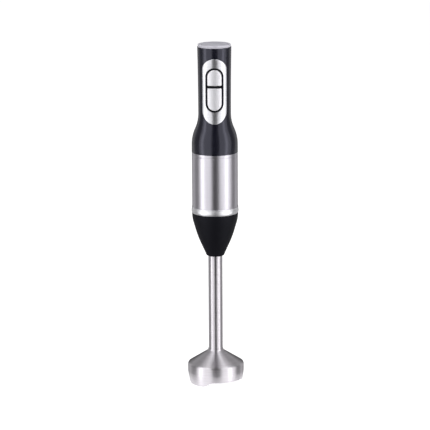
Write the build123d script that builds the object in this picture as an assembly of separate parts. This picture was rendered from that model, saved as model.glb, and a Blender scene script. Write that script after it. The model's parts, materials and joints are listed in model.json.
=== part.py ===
"""Immersion blender: a motor unit with two push buttons, a twist-off leg and a spinning blade.

Sizes are in millimetres. Heights are measured up from the plane that the guard's two low lobes
touch, and saving moves everything down so that the origin is the centre of the grip. The front,
with the buttons, faces -Y.
"""

from build123d import *
import os
from math import hypot, radians, sin

os.makedirs("parts", exist_ok=True)

# ---- driving dimensions -------------------------------------------------------------------

grip_height = 345.0  # centre of the grip, where the origin goes

# gaps
snug = 0.05  # between round parts that sit in each other and don't move
running = 0.04  # between a shaft and its bush
free = 0.3  # between parts that move past each other

# bell guard
bell_radius = 32.5
bell_wall = 1.0
rim_radius = 30.4
skirt_top = 23.4  # where the lines of the cone and the upright wall meet
skirt_waist = 13.2  # where the wall starts to draw in towards the rim
cone_top = 38.4
neck_height = 40.2
lobe_depth = 5.5
arch_half_width = 21.6  # at the top of the arches between the lobes
arch_half_foot = 27.0  # where the arches run out into the lobes
arch_direction = -54.0  # degrees about Z, from +X, of the line through both arches

# leg
tube_radius = 8.15
tube_wall = 0.8
tube_bottom = 33.0
tube_top = 183.9
collar_bottom = 151.4
collar_radius = 26.6
collar_wall = 2.8
collar_web = 3.0
seam_height = 202.6  # underside of the motor unit, where the leg comes off
neck_radius = 20.1
neck_wall = 2.8
neck_top = 211.8

# drive line
shaft_radius = 2.5
thread_radius = 2.0
shaft_bottom = 9.6
shaft_top = 191.0
blade_bottom = 13.3
blade_radius = 25.0
blade_thickness = 1.2
blade_width = 11.0
coupler_radius = 8.0
dog_angle = 40.0
dog_depth = 5.6
dog_inner = 3.2
dog_outer = 7.6
driven_bottom = 187.5
driven_face = 193.8  # of the lower coupler half, where its dogs stand
drive_face = 200.0  # of the upper half, where its dogs hang
drive_top = 214.0
bush_length = 16.0
lower_bush_bottom = 38.0
washer_bottom = 54.3
washer_top = 55.0

# motor unit
trim_radius = 27.1
trim_top = 209.9
sleeve_radius = 26.35
sleeve_wall = 0.8
sleeve_top = 273.7
band_radius = 26.5
band_top = 283.0
shoulder_top = 319.0
waist_radius = 18.72
handle_top = 395.9
handle_top_radius = 19.52
shell_wall = 2.2
cap_radius = 19.0
cap_crown = 399.6
spigot_radius = 25.4  # what goes inside the sleeve
lip_bottom = 266.0  # the handle's lip, inside the sleeve
lip_inner = 23.3
bead_height = 269.0  # snap bead inside the lip
bead_depth = 0.5
floor_thickness = 1.6

# motor
can_radius = 20.0
can_wall = 1.2
can_bottom = 227.0
can_top = 262.0
can_boss = 2.5  # how far the front bearing's boss stands below the can
carrier_ring = 4.0
carrier_inner = 21.9
damper_outer = 21.85
damper_height = 3.2
bearing_radius = 5.0
bearing_length = 5.0
core_radius = 14.4
core_bottom = 233.0
core_top = 257.0
core_slots = 8
slot_circle = 10.6  # of the centres of the winding slots
winding_bottom = 230.0
winding_top = 260.6
magnet_inner = 15.0
magnet_angle = 140.0
commutator_radius = 5.2
brush_height = 266.25
fan_radius = 18.0
fan_bottom = 216.5
fan_top = 223.5
fan_blades = 9
rear_bearing_bottom = 270.5
end_cap_top = 271.0

# bayonet
lug_count = 3
lug_angle = 20.0
lug_reach = 1.8
lug_bottom = 205.2
lug_top = 208.2
lug_slack = 2.0  # degrees to each side of a lug in its slot
twist_range = 30.0
post_angle = -45.0  # carrier posts and their screws, from the middle of a lug
post_circle = 23.4
carrier_screw_radius = 1.1
carrier_head_radius = 1.85
carrier_head_top = 205.4
pocket_radius = neck_radius + free
socket_web = 212.2
socket_web_top = 215.2
socket_top = 226.0

# buttons
bezel_half_width = 14.0
bezel_bottom = 308.8
bezel_top = 384.1
bezel_proud = 1.0
window_half_width = 9.95
window_bottom = 322.9
window_top = 373.5
button_inset = 1.5  # from the window's edge to the buttons
button_split = 351.9  # height of the line between the buttons
button_gap = 1.8
button_proud = 1.5
frame_proud = 0.95
button_back = -9.5
flange_front = -12.2
flange_thickness = 1.4
board_front = 1.5
board_back = 3.1
board_bottom = 320.0
board_top = 379.0
switch_front = -4.5
plunger_radius = 1.2
plunger_front = -6.8

# fixings and inlet
shell_screw_height = 316.0
shell_screw_offset = 8.0
shell_screw_radius = 1.25
shell_head_radius = 2.7
shell_head_height = 1.8
screw_seat = 12.2  # Y of the face under the heads
gland_height = 384.0
gland_bore = 3.5
gland_radius = 5.0
vent_count = 7
vent_step = 8.0  # degrees
vent_height = 291.5
vent_length = 11.0
vent_width = 1.6


# ---- helpers ------------------------------------------------------------------------------


def spin(edges, arc=360.0):
    """Turn a closed outline, drawn in the XZ plane, about the Z axis."""
    return revolve(make_face(edges), Axis.Z, arc)


def turned(*corners):
    """Turn a closed outline about Z. A corner is (radius, height) or (radius, height, rounding)."""
    points = [(corner[0], 0, corner[1]) for corner in corners]
    rounding = [corner[2] if len(corner) == 3 else 0 for corner in corners]
    return spin(FilletPolyline(*points, radius=rounding, close=True))


def ring(inner, outer, bottom, top):
    """A plain ring, or a disc when inner is 0."""
    return turned((inner, bottom), (outer, bottom), (outer, top), (inner, top))


def sector(inner, outer, bottom, top, centre, width):
    """A piece of a ring. Its centre and width are angles in degrees."""
    corners = [(inner, 0, bottom), (outer, 0, bottom), (outer, 0, top), (inner, 0, top)]
    return Rot(0, 0, centre - width / 2) * spin(Polyline(*corners, close=True), width)


def block(x, y, z):
    """A box given by its (low, high) pair on each axis."""
    middle = [(low + high) / 2 for low, high in (x, y, z)]
    size = [high - low for low, high in (x, y, z)]
    return Pos(*middle) * Box(*size)


def bar(radius, start, end):
    """A round bar from one point to another."""
    line = Line(start, end)
    return extrude(Plane(start, z_dir=line % 0) * Circle(radius), line.length)


def around(shape, count, first=0.0):
    """Copies of a shape at even angles about Z, joined into one."""
    copies = Part()
    for n in range(count):
        copies += Rot(0, 0, first + 360.0 * n / count) * shape
    return copies


def fanned(shape, count, step):
    """Copies of a shape at a fixed step about Z, spread evenly to both sides."""
    copies = Part()
    for n in range(count):
        copies += Rot(0, 0, step * (n - (count - 1) / 2)) * shape
    return copies


def both_sides(shape):
    """A shape and its mirror image across the YZ plane."""
    return shape + mirror(shape, Plane.YZ)


def push(sketch, near, far):
    """A prism of a sketch whose X and Y are width and height, between two Y values."""
    face = Plane((0, near, 0), x_dir=(1, 0, 0), z_dir=(0, -1, 0)) * sketch
    return extrude(face, near - far)


def stadium(half_width, bottom, top):
    """An upright outline with round ends."""
    return Pos(0, (bottom + top) / 2) * SlotOverall(top - bottom, 2 * half_width, 90)


def coil(radius, wire, length, turns):
    """A coil spring that stands on Z = 0, with all its wire within the length."""
    rise = length - 2 * wire
    path = Helix(rise / turns, rise, radius)
    section = Plane(path @ 0, z_dir=path % 0) * Circle(wire)
    return Pos(0, 0, wire) * sweep(section, path, is_frenet=True)


def solids_of(*shapes):
    """Separate solids gathered into one node."""
    return Compound([solid for shape in shapes for solid in shape.solids()])


# ---- handle -------------------------------------------------------------------------------


def handle_solid(inset):
    """The handle as one solid: band, double curve of the shoulder, and a long flare."""
    band = band_radius - inset
    waist = waist_radius - inset
    top = handle_top_radius - inset
    shoulder = ((band + waist) / 2, 0, (band_top + shoulder_top) / 2)
    flare_bend = (shoulder_top + handle_top) / 2
    return spin(
        [
            Line((0, 0, sleeve_top), (band, 0, sleeve_top)),
            Line((band, 0, sleeve_top), (band, 0, band_top)),
            TangentArc((band, 0, band_top), shoulder, tangent=(0, 0, 1)),
            TangentArc((waist, 0, shoulder_top), shoulder, tangent=(0, 0, -1)),
            Bezier((waist, 0, shoulder_top), (waist, 0, flare_bend), (top, 0, handle_top)),
            Line((top, 0, handle_top), (0, 0, handle_top)),
            Line((0, 0, handle_top), (0, 0, sleeve_top)),
        ]
    )


def handle_body():
    """Both handle halves before they are parted, with the lip that goes into the sleeve."""
    body = handle_solid(0) - handle_solid(shell_wall)
    body += ring(lip_inner, spigot_radius, lip_bottom, sleeve_top)
    body += ring(lip_inner, band_radius - 1, sleeve_top, sleeve_top + floor_thickness)
    body += ring(lip_inner - bead_depth, lip_inner, bead_height - 0.6, bead_height + 0.6)
    return body


def window():
    """Outline of the opening that the button frame fills."""
    return stadium(window_half_width + snug, window_bottom - snug, window_top + snug)


def screw_line(radius, near, far):
    """Bars along Y at both shell screws."""
    start = (shell_screw_offset, near, shell_screw_height)
    end = (shell_screw_offset, far, shell_screw_height)
    return both_sides(bar(radius, start, end))


def handle_front_shell():
    boss_radius = 3.0
    bosses = screw_line(boss_radius, -17.0, 2.0) & handle_solid(shell_wall / 2)
    front_half = block((-30, 30), (-30, 0), (260, 400))
    shell = (handle_body() & front_half) + bosses
    shell -= push(window(), -8, -30)
    return shell - screw_line(shell_screw_radius + snug, -9.0, 3.0)


def vents():
    """A fan of upright air slots at the back of the shoulder."""
    outline = Rot(0, 0, 90) * SlotOverall(vent_length, vent_width)
    slot = push(Pos(0, vent_height) * outline, 30, 12)
    return fanned(slot, vent_count, vent_step)


def handle_rear_shell():
    boss_radius = 3.4
    bosses = screw_line(boss_radius, 2.0, 18.0)
    rib_height = (board_bottom + 5, board_top - 5)
    ribs = both_sides(block((8.4, 9.6), (board_back + snug, 16.5), rib_height))
    rear_half = block((-30, 30), (0, 30), (260, 400))
    shell = handle_body() & rear_half
    shell += (bosses + ribs) & handle_solid(shell_wall / 2)
    shell -= screw_line(shell_screw_radius + free, 0.0, 30.0)
    shell -= screw_line(shell_head_radius + free, screw_seat, 30.0)
    shell -= bar(gland_radius + snug, (0, 10, gland_height), (0, 30, gland_height))
    return shell - vents()


def shell_screws():
    """Two pan-head self-tapping screws that pull the handle halves together."""
    head_bottom = screw_seat + snug
    head_top = head_bottom + shell_head_height
    screws = screw_line(shell_screw_radius, -8.0, head_bottom)
    screws += screw_line(shell_head_radius, head_bottom, head_top)
    x, z = shell_screw_offset, shell_screw_height
    recess = (head_top - 1.0, head_top + 1.0)
    cross = block((x - 1.6, x + 1.6), recess, (z - 0.3, z + 0.3))
    cross += block((x - 0.3, x + 0.3), recess, (z - 1.6, z + 1.6))
    return solids_of(screws - both_sides(cross))


def top_cap():
    """Slightly crowned lid inside a raised rim, with a skirt inside both shells."""
    edge = 1.0
    side_top = handle_top + 2.0
    rim_top = side_top + edge
    slant = edge * sin(radians(45))
    skirt_outer = handle_top_radius - shell_wall - free
    skirt_inner = skirt_outer - 1.6
    skirt_bottom = 390.4
    lid_bottom = handle_top + 1.2
    rim_inner = cap_radius - 2.4
    groove_depth = 0.4
    crown_radius = rim_inner - 0.6
    return spin(
        [
            Polyline(
                (0, 0, lid_bottom),
                (skirt_inner, 0, lid_bottom),
                (skirt_inner, 0, skirt_bottom),
                (skirt_outer, 0, skirt_bottom),
                (skirt_outer, 0, handle_top),
                (cap_radius, 0, handle_top),
                (cap_radius, 0, side_top),
            ),
            ThreePointArc(
                (cap_radius, 0, side_top),
                (cap_radius - edge + slant, 0, side_top + slant),
                (cap_radius - edge, 0, rim_top),
            ),
            Polyline(
                (cap_radius - edge, 0, rim_top),
                (rim_inner, 0, rim_top),
                (rim_inner, 0, rim_top - groove_depth),
                (crown_radius, 0, rim_top - groove_depth),
                (crown_radius, 0, rim_top),
            ),
            TangentArc((0, 0, cap_crown), (crown_radius, 0, rim_top), tangent=(1, 0, 0)),
            Line((0, 0, cap_crown), (0, 0, lid_bottom)),
        ]
    )


def button_bezel():
    """Thin plate wrapped round the front of the handle, with one window for both buttons."""
    top_rise, bottom_rise = 12.0, 15.0
    top_centre = bezel_top - top_rise
    bottom_centre = bezel_bottom + bottom_rise
    middle = Rectangle(2 * bezel_half_width, top_centre - bottom_centre)
    outline = Pos(0, (top_centre + bottom_centre) / 2) * middle
    outline += Pos(0, top_centre) * Ellipse(bezel_half_width, top_rise)
    outline += Pos(0, bottom_centre) * Ellipse(bezel_half_width, bottom_rise)
    skin = handle_solid(-bezel_proud) - handle_solid(-snug / 2)
    return (skin & push(outline, -5, -30)) - push(window(), -5, -30)


def button_outline(low, high, grow):
    """Outline of the buttons between two heights, grown by a margin on its round sides."""
    whole = stadium(
        window_half_width - button_inset + grow,
        window_bottom + button_inset - grow,
        window_top - button_inset + grow,
    )
    band = Pos(0, (low + high) / 2) * Rectangle(60, high - low)
    return whole & band


def button_heights(upper, gap):
    """The (low, high) heights that one button may fill, with a gap at the split."""
    if upper:
        return (button_split + gap / 2, window_top)
    return (window_bottom, button_split - gap / 2)


def button_frame():
    """Black frame that guides both buttons and shows as the line round them."""
    walls = push(stadium(window_half_width, window_bottom, window_top), flange_front, -30)
    walls &= handle_solid(-frame_proud)
    flange_outline = stadium(window_half_width + 1, window_bottom - 1.8, window_top + 1.8)
    frame = walls + push(flange_outline, flange_front + flange_thickness, flange_front)
    for upper in (False, True):
        low, high = button_heights(upper, button_gap - 2 * free)
        frame -= push(button_outline(low, high, free), 0, -30)
    return frame


def button(upper):
    """A button with a curved face, a retaining flange behind the frame, and a stem."""
    low, high = button_heights(upper, button_gap)
    body = push(button_outline(low, high, 0), button_back, -30)
    body &= handle_solid(-button_proud)
    flange_face = flange_front + flange_thickness + free
    body += push(button_outline(low, high, 0.9), button_back, flange_face)
    middle = button_middle(upper)
    return body + bar(2.2, (0, button_back, middle), (0, plunger_front, middle))


def button_middle(upper):
    """Height of a button's stem."""
    low, high = button_heights(upper, button_gap)
    return (low + high) / 2


def button_spring(upper):
    """Return spring round the stem, between the button and its switch."""
    length = switch_front - button_back - 2 * snug
    spring = coil(3.1, 0.25, length, 4)
    return Pos(0, button_back + snug, button_middle(upper)) * Rot(-90, 0, 0) * spring


def plunger(upper):
    """The switch's own pin, which the stem pushes in."""
    middle = button_middle(upper)
    return bar(plunger_radius, (0, plunger_front, middle), (0, switch_front + 0.9, middle))


def microswitch(upper):
    middle = button_middle(upper)
    body = block((-6, 6), (switch_front, board_front), (middle - 5.5, middle + 5.5))
    return body - bar(plunger_radius + 0.1, (0, switch_front, middle), (0, -1.6, middle))


def switch_board():
    return block((-11, 11), (board_front, board_back), (board_bottom, board_top))


def capacitor():
    """Interference capacitor, a box behind the board."""
    box = block((-6, 6), (board_back + snug, board_back + 6.4), (328, 341))
    return fillet(box.edges().filter_by(Axis.Y), 1.0)


def rectifier():
    """Bridge rectifier, a flat block with one cut corner."""
    body = block((-7.5, 7.5), (board_back + snug, board_back + 3.5), (345, 353))
    corner = body.edges().filter_by(Axis.Y).sort_by(Axis.X).last
    return chamfer(corner, 2.0)


def choke():
    """Interference choke, a ferrite core with a wound middle."""
    bottom, top, end = 357.0, 371.0, 2.0
    core_side, winding_side = 2.6, 3.5
    core = ring(0, core_side, bottom, top)
    winding = ring(0, winding_side, bottom + end, top - end)
    return Pos(0, board_back + winding_side + snug, 0) * (core + winding)


def cord_gland():
    """Rubber bush in the back of the handle, with a flange on each side of the wall."""
    inner_flange, outer_flange = gland_radius + 1.0, gland_radius + 1.3
    outside = turned(
        (gland_bore, 11.0),
        (gland_radius, 11.0),
        (gland_radius, 14.2),
        (inner_flange, 14.2),
        (inner_flange, 15.7),
        (gland_radius, 15.7),
        (gland_radius, 19.4),
        (outer_flange, 19.4),
        (outer_flange, 21.4, 0.8),
        (gland_bore, 21.4),
    )
    return Pos(0, 0, gland_height) * Rot(-90, 0, 0) * outside


def motor_leads():
    """Two insulated wires from the board down to the motor's end cap."""
    wire_radius = 0.8
    path = FilletPolyline(
        (9, 0, end_cap_top + 0.1),
        (9, 0, 283),
        (2.2, 2.3, 301),
        (2.2, 2.3, board_bottom - snug),
        radius=8,
    )
    section = Plane(path @ 0, z_dir=path % 0) * Circle(wire_radius)
    return solids_of(both_sides(sweep(section, path)))


# ---- lower motor unit ---------------------------------------------------------------------


def motor_sleeve():
    return ring(sleeve_radius - sleeve_wall, sleeve_radius, trim_top, sleeve_top)


def trim_ring():
    """Bright ring with a slightly bulging face."""
    edge = trim_radius - 0.7
    middle = (seam_height + trim_top) / 2
    inner = spigot_radius + snug
    return spin(
        [
            Line((inner, 0, seam_height), (edge, 0, seam_height)),
            ThreePointArc(
                (edge, 0, seam_height), (trim_radius, 0, middle), (edge, 0, trim_top)
            ),
            Polyline((edge, 0, trim_top), (inner, 0, trim_top), (inner, 0, seam_height)),
        ]
    )


def lug_centres():
    """Angles of the lugs with the leg locked."""
    return [90.0 + 360.0 * n / lug_count for n in range(lug_count)]


def post_angles():
    return [centre + post_angle for centre in lug_centres()]


def at_posts(shape):
    """Copies of a shape, drawn on +X, at every carrier post."""
    copies = Part()
    for angle in post_angles():
        copies += Rot(0, 0, angle) * shape
    return copies


def leg_socket():
    """Bottom of the motor unit: a pocket with L-shaped slots for the leg's lugs."""
    body = turned(
        (pocket_radius, seam_height, 0.6),
        (spigot_radius, seam_height),
        (spigot_radius, socket_top),
        (23.0, socket_top),
        (23.0, socket_web_top),
        (9.0, socket_web_top),
        (9.0, socket_web),
        (pocket_radius, socket_web),
    )
    boss = bar(2.0, (post_circle, 0, socket_web_top), (post_circle, 0, socket_top))
    body += at_posts(boss)
    slot_depth = neck_radius + lug_reach + free
    mouth = lug_angle + 2 * lug_slack
    for centre in lug_centres():
        low, high = lug_bottom - free, lug_top + free
        track = mouth + twist_range
        body -= sector(neck_radius, slot_depth, low, high, centre + twist_range / 2, track)
        body -= sector(neck_radius, slot_depth, seam_height - 1, high, centre + twist_range, mouth)
    hole = bar(carrier_screw_radius + snug, (post_circle, 0, 200), (post_circle, 0, 230))
    seat = carrier_head_radius + 0.1
    counterbore = bar(seat, (post_circle, 0, 200), (post_circle, 0, carrier_head_top))
    return body - at_posts(hole + counterbore)


def motor_carrier():
    """Cage round the motor: two rings joined by posts, and a grooved spigot for the handle."""
    outer = spigot_radius - 0.1
    cage = ring(carrier_inner, outer, socket_top, socket_top + carrier_ring)
    cage += ring(carrier_inner, outer, lip_bottom - carrier_ring, lip_bottom)
    cage += ring(21.0, lip_inner - snug, lip_bottom - 0.2, lip_bottom + 6)
    groove = lip_inner - bead_depth - snug
    cage -= ring(groove, lip_inner, bead_height - 0.7, bead_height + 0.7)
    post_width = 14.0
    cage += at_posts(sector(carrier_inner, outer, socket_top, lip_bottom, 0, post_width))
    hole = bar(carrier_screw_radius + snug, (post_circle, 0, 220), (post_circle, 0, 241))
    return cage - at_posts(hole)


def carrier_screws():
    """Three long screws from the socket up into the carrier's posts."""
    shank = bar(carrier_screw_radius, (post_circle, 0, 205.5), (post_circle, 0, 240))
    head_top = carrier_head_top - snug
    head = bar(carrier_head_radius, (post_circle, 0, head_top - 1.45), (post_circle, 0, head_top))
    head += bar(carrier_screw_radius, (post_circle, 0, 205), (post_circle, 0, 206))
    slot = block((post_circle - 2, post_circle + 2), (-0.25, 0.25), (203, 204.5))
    return solids_of(at_posts(shank + head - slot))


def damper(bottom):
    """Soft rubber ring between the motor and its carrier."""
    return ring(can_radius + snug, damper_outer, bottom, bottom + damper_height)


# ---- motor --------------------------------------------------------------------------------


def motor_can():
    """Deep-drawn steel can with a boss for the front bearing."""
    boss_radius = bearing_radius + 1.6
    seat = bearing_radius + snug
    boss_bottom = can_bottom - can_boss
    inner = can_radius - can_wall
    return turned(
        (seat, boss_bottom),
        (boss_radius, boss_bottom),
        (boss_radius, can_bottom),
        (can_radius, can_bottom, 1.6),
        (can_radius, can_top),
        (inner, can_top),
        (inner, can_bottom + can_wall, 0.6),
        (seat, can_bottom + can_wall),
    )


def magnets():
    outer = can_radius - can_wall - snug
    low, high = core_bottom - 2, core_top + 2
    arcs = [sector(magnet_inner, outer, low, high, side, magnet_angle) for side in (0, 180)]
    return solids_of(*arcs)


def bearing(bottom):
    """Sintered bearing bush of the motor."""
    return ring(shaft_radius + running, bearing_radius, bottom, bottom + bearing_length)


def motor_end_cap():
    """Plastic end of the motor with the rear bearing seat and two brush channels."""
    seat = bearing_radius + snug
    bore = commutator_radius + 1.4
    body = turned(
        (bore, can_top + snug),
        (can_radius, can_top + snug),
        (can_radius, end_cap_top, 1.5),
        (8.0, end_cap_top),
        (8.0, rear_bearing_bottom + bearing_length),
        (seat, rear_bearing_bottom + bearing_length),
        (seat, rear_bearing_bottom),
        (bore, rear_bearing_bottom),
    )
    channel = block((bore - 1, 18.2), (-2.2, 2.2), (brush_height - 2.65, brush_height + 2.65))
    return body - both_sides(channel)


def carbon_brushes():
    inner = commutator_radius + free
    brush = block((inner, 12.5), (-2.1, 2.1), (brush_height - 2.55, brush_height + 2.55))
    return solids_of(both_sides(brush))


def brush_springs():
    inner_end, outer_end = 12.6, 18.1
    spring = coil(1.4, 0.2, outer_end - inner_end, 5)
    placed = Pos(inner_end, 0, brush_height) * Rot(0, 90, 0) * spring
    return solids_of(placed, mirror(placed, Plane.YZ))


def motor_shaft():
    bottom, top = 203.2, 276.0
    return turned((0, bottom), (shaft_radius, bottom, 0.4), (shaft_radius, top, 0.4), (0, top))


def armature_core():
    """Laminated core with round winding slots that open at the rim."""
    core = ring(shaft_radius + snug, core_radius, core_bottom, core_top)
    slot = bar(2.6, (slot_circle, 0, core_bottom), (slot_circle, 0, core_top))
    slot += block((slot_circle, core_radius + 1), (-0.8, 0.8), (core_bottom, core_top))
    return core - around(slot, core_slots)


def armature_windings():
    """Copper in the slots, joined by the end turns above and below the core."""
    inner, outer = 6.4, 13.2
    low, high = core_bottom - snug, core_top + snug
    coils = turned(
        (inner, winding_bottom, 1.0), (outer, winding_bottom, 1.4), (outer, low), (inner, low)
    )
    coils += turned(
        (inner, high), (outer, high), (outer, winding_top, 1.4), (inner, winding_top, 1.0)
    )
    bundle = bar(2.5, (slot_circle, 0, low - 0.5), (slot_circle, 0, high + 0.5))
    return coils + around(bundle, core_slots)


def commutator():
    """Copper bars with narrow slits between them, and a riser at the winding end."""
    body = turned(
        (shaft_radius + snug, 261.0),
        (6.1, 261.0),
        (6.1, 262.3),
        (commutator_radius, 262.3),
        (commutator_radius, 270.0),
        (shaft_radius + snug, 270.0),
    )
    slit = block((commutator_radius - 0.8, commutator_radius + 1), (-0.2, 0.2), (262.2, 270.1))
    return body - around(slit, core_slots)


def cooling_fan():
    """Radial fan: a hub, a back plate and curved-in blades below it."""
    fan = ring(shaft_radius + snug, 5.0, fan_bottom, fan_top)
    fan += ring(4.5, fan_radius, fan_top - 0.8, fan_top)
    blade = block((4.4, fan_radius), (-0.4, 0.4), (fan_bottom + 0.4, fan_top - 0.4))
    tilted = Pos(4.4, 0, 0) * Rot(0, 0, 18) * Pos(-4.4, 0, 0) * blade
    fan += around(tilted, fan_blades) & ring(4.4, fan_radius, fan_bottom, fan_top)
    return fan


def drive_coupler():
    """Upper half of the dog coupling, on the motor shaft."""
    body = turned(
        (0, drive_face),
        (coupler_radius, drive_face, 0.6),
        (coupler_radius, drive_top, 0.6),
        (shaft_radius + snug, drive_top),
        (shaft_radius + snug, 203.1),
        (0, 203.1),
    )
    for centre in (0, 180):
        low = drive_face - dog_depth
        body += sector(dog_inner, dog_outer, low, drive_face + 1, centre, dog_angle)
    return body


def driven_coupler():
    """Lower half of the dog coupling, on the leg's shaft."""
    body = turned(
        (0, driven_face),
        (0, shaft_top + snug),
        (shaft_radius + snug, shaft_top + snug),
        (shaft_radius + snug, driven_bottom),
        (coupler_radius, driven_bottom, 0.6),
        (coupler_radius, driven_face, 0.6),
    )
    for centre in (90, 270):
        high = driven_face + dog_depth
        body += sector(dog_inner, dog_outer, driven_face - 1, high, centre, dog_angle)
    return body


# ---- leg ----------------------------------------------------------------------------------


def collar_side(inset, bottom, top):
    """The collar's long side, which steepens upwards until it is upright at the seam."""
    knots = ((15.7, 164.5), (19.7, 174.0), (24.2, 188.3))
    points = [bottom] + [(radius - inset, 0, height) for radius, height in knots] + [top]
    return Spline(*points, tangents=[(0.42, 0, 1), (0, 0, 1)])


def leg_collar():
    """Cone that joins the tube to the motor unit, hollow above a hub with ribs."""
    hub_radius = tube_radius + 2.4
    flange = seam_height - free
    bore = tube_radius + snug
    foot_radius = 10.9
    foot_top = 153.8
    neck_inner = neck_radius - neck_wall
    solid = spin(
        [
            Line((0, 0, collar_bottom), (8.7, 0, collar_bottom)),
            ThreePointArc(
                (8.7, 0, collar_bottom), (10.1, 0, 152.2), (foot_radius, 0, foot_top)
            ),
            collar_side(0, (foot_radius, 0, foot_top), (collar_radius, 0, flange)),
            Polyline(
                (collar_radius, 0, flange),
                (neck_radius, 0, flange),
                (neck_radius, 0, neck_top),
                (0, 0, neck_top),
                (0, 0, collar_bottom),
            ),
        ]
    )
    roof = flange - collar_wall
    side_bottom = (hub_radius, 0, 161.0)
    side_top = (collar_radius - collar_wall, 0, roof)
    web_top = tube_top + collar_web
    cavity = spin(
        [
            collar_side(collar_wall, side_bottom, side_top),
            Polyline(
                side_top,
                (neck_inner, 0, roof),
                (neck_inner, 0, neck_top + 1),
                (0, 0, neck_top + 1),
                (0, 0, web_top),
                (hub_radius, 0, web_top),
                side_bottom,
            ),
        ]
    )
    rib = block((hub_radius - 0.5, 24), (-0.8, 0.8), (158, web_top))
    body = (solid - cavity) + (around(rib, 6, 30) & solid)
    body -= ring(0, bore, collar_bottom - 1, tube_top + snug)
    body -= ring(0, shaft_radius + 0.7, tube_top, web_top + 1)
    for centre in lug_centres():
        reach = neck_radius + lug_reach
        body += sector(neck_radius - 1, reach, lug_bottom, lug_top, centre, lug_angle)
    return body - ring(neck_radius - 1.8, neck_radius + 1, 209.3, 211.0)


def leg_seal_ring():
    """Rubber ring in the groove of the collar's neck."""
    return Pos(0, 0, 210.15) * Torus(neck_radius - 0.95, 0.8)


def leg_tube():
    return ring(tube_radius - tube_wall, tube_radius, tube_bottom, tube_top)


def bell_guard():
    """Thin pressed bell: a cone, a rounded shoulder, a skirt, and a rim with two low lobes."""
    bore = tube_radius + snug
    neck = bore + 0.6
    slope = (cone_top - skirt_top) / (bell_radius - neck)
    drop = bell_wall * hypot(1, slope)
    inner_radius = bell_radius - bell_wall
    inner_top = skirt_top + slope * bell_wall - drop
    body = turned(
        (bore, neck_height),
        (neck, neck_height, 0.3),
        (neck, cone_top, 1.6),
        (bell_radius, skirt_top, 3.0),
        (bell_radius, skirt_waist, 14.0),
        (rim_radius, 0.0),
        (rim_radius - bell_wall, 0.0),
        (inner_radius, skirt_waist, 13.0),
        (inner_radius, inner_top, 2.0),
        (bore, inner_top + slope * (inner_radius - bore)),
    )
    reach = 50.0
    arch = FilletPolyline(
        (-reach, -9),
        (-reach, 0),
        (-arch_half_foot, 0),
        (-arch_half_width, lobe_depth),
        (arch_half_width, lobe_depth),
        (arch_half_foot, 0),
        (reach, 0),
        (reach, -9),
        radius=(0, 0, 5, 5, 5, 5, 0, 0),
        close=True,
    )
    cutter = push(make_face(arch), reach, -reach)
    return body - Rot(0, 0, arch_direction + 90) * cutter


def bush(bottom):
    """Plain bush between the tube and the drive shaft."""
    outer = tube_radius - tube_wall - snug
    return ring(shaft_radius + running, outer, bottom, bottom + bush_length)


def shaft_seal():
    """Rubber lip seal that keeps food out of the tube."""
    outer = tube_radius - tube_wall - snug
    return turned(
        (shaft_radius + running, tube_bottom),
        (outer, tube_bottom),
        (outer, 37.8),
        (outer - 1.2, 37.8),
        (outer - 1.2, 35.0),
        (shaft_radius + 1.2, 35.0),
        (shaft_radius + 0.6, 37.0),
        (shaft_radius + running, 37.0),
    )


def seal_cap():
    """Steel cup that closes the tube's lower end under the bell."""
    wall_inner = tube_radius + snug
    wall_outer = wall_inner + 1.1
    bottom = tube_bottom - 1.3
    return turned(
        (shaft_radius + 0.6, bottom),
        (wall_outer, bottom, 0.8),
        (wall_outer, 36.0),
        (wall_inner, 36.0),
        (wall_inner, tube_bottom - snug),
        (shaft_radius + 0.6, tube_bottom - snug),
    )


# ---- blade shaft --------------------------------------------------------------------------


def drive_shaft():
    """Long shaft with a thinner threaded end for the blade nut."""
    return turned(
        (0, shaft_bottom),
        (thread_radius, shaft_bottom, 0.3),
        (thread_radius, blade_bottom - 0.05),
        (shaft_radius, blade_bottom - 0.05),
        (shaft_radius, shaft_top),
        (0, shaft_top),
    )


def retaining_ring():
    """Open snap ring that keeps the shaft from dropping."""
    bottom = washer_top + 0.1
    whole = ring(shaft_radius + snug, 4.6, bottom, bottom + 1.0)
    return whole - block((0, 6), (-1.2, 1.2), (washer_bottom, washer_top + 2))


def thrust_washer():
    return ring(shaft_radius + snug, 5.6, washer_bottom, washer_top)


def wing(bend):
    """One blade wing: tapered, pitched, with its outer third bent up or down."""
    root, fold = 3.0, 16.0
    tip = blade_radius - 0.4
    half_root, half_fold, half_tip = blade_width / 2, 4.4, 2.6
    inner = Polyline(
        (root, -half_root), (fold, -half_fold), (fold, half_fold), (root, half_root), close=True
    )
    outer = Polyline(
        (0, -half_fold), (tip - fold, -half_tip), (tip - fold, half_tip), (0, half_fold), close=True
    )
    flat = extrude(make_face(inner), blade_thickness)
    bent = extrude(make_face(outer), blade_thickness)
    folded = flat + Pos(fold, 0, 0) * Rot(0, -bend, 0) * Pos(-0.25, 0, 0) * bent
    return Rot(8, 0, 0) * folded


def blade():
    """Two-wing blade welded to its hub."""
    hub = turned(
        (shaft_radius + snug, blade_bottom),
        (6.0, blade_bottom, 0.6),
        (6.0, 17.4, 0.8),
        (4.6, 19.5, 1.0),
        (4.6, 29.6, 0.8),
        (shaft_radius + snug, 29.6),
    )
    wing_height = 14.6
    wings = wing(24) + Rot(0, 0, 180) * wing(-20)
    wings -= ring(0, shaft_radius + snug + 0.5, -5, 5)
    return hub + Pos(0, 0, wing_height) * wings


def blade_nut():
    """Hexagon cap nut under the blade."""
    bottom = 8.8
    top = blade_bottom - snug
    nut = Pos(0, 0, bottom) * extrude(RegularPolygon(4.3, 6), top - bottom)
    nut &= turned((0, bottom), (3.4, bottom), (4.4, bottom + 1.2), (4.4, top), (0, top))
    return nut - ring(0, thread_radius + snug, shaft_bottom - snug, top + 1)


# ---- nodes --------------------------------------------------------------------------------

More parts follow.
